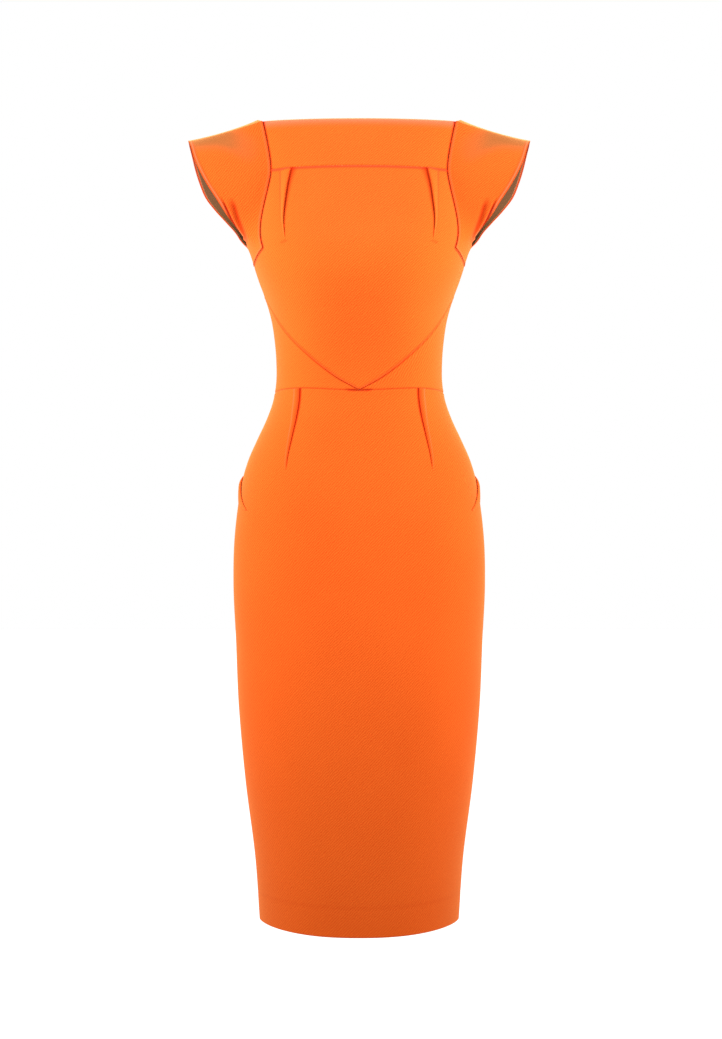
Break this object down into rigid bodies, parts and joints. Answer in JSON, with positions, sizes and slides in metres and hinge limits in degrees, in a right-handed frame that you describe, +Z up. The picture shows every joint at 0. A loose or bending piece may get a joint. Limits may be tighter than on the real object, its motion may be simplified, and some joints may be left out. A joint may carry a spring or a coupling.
{
  "type": "cap sleeve sheath dress",
  "caption": "Fitted knee-length sheath dress with cap sleeves and a straight boat neck, pointed waist seam, pressed front darts and back zip, held in its worn shape",
  "frame": {"origin": "At the shoulders, on the mid-line: the height of the ends of the neckline, in the upright plane of the side seams, where a wearer or a hanger carries the dress", "axes": "+Z up, -Y is the front of the dress, +X is the wearer's left"},
  "size_m": [0.4466, 0.2397, 1.0417],
  "materials": {
    "crepe": "matt wool crepe with a fine pebbled weave",
    "sleeve_lining": "taupe lining satin",
    "zip_tape": "woven polyester tape dyed to match",
    "zip_enamel": "enamel dyed to match"
  },
  "bodies": {
    "dress": {"yoke_front": "crepe", "bodice_front": "crepe", "midriff_left": "crepe", "midriff_right": "crepe", "skirt_front": "crepe", "bodice_back_left": "crepe", "bodice_back_right": "crepe", "skirt_back_left": "crepe", "skirt_back_right": "crepe", "sleeve_left": "crepe", "sleeve_right": "crepe", "hip_tuck_left": "crepe", "hip_tuck_right": "crepe", "vent_underlap": "crepe", "sleeve_lining_left": "sleeve_lining", "sleeve_lining_right": "sleeve_lining", "zip_tape": "zip_tape", "zip_slider": "zip_enamel"},
    "pull": {"zip_pull": "zip_enamel"}
  },
  "joints": [
    {"name": "zip_pull_hinge", "type": "hinge", "parent": "dress", "child": "pull", "pos_m": [0, 0.06333, -0.02512], "axis": [1, 0, 0], "range_deg": [0, 150]}
  ]
}
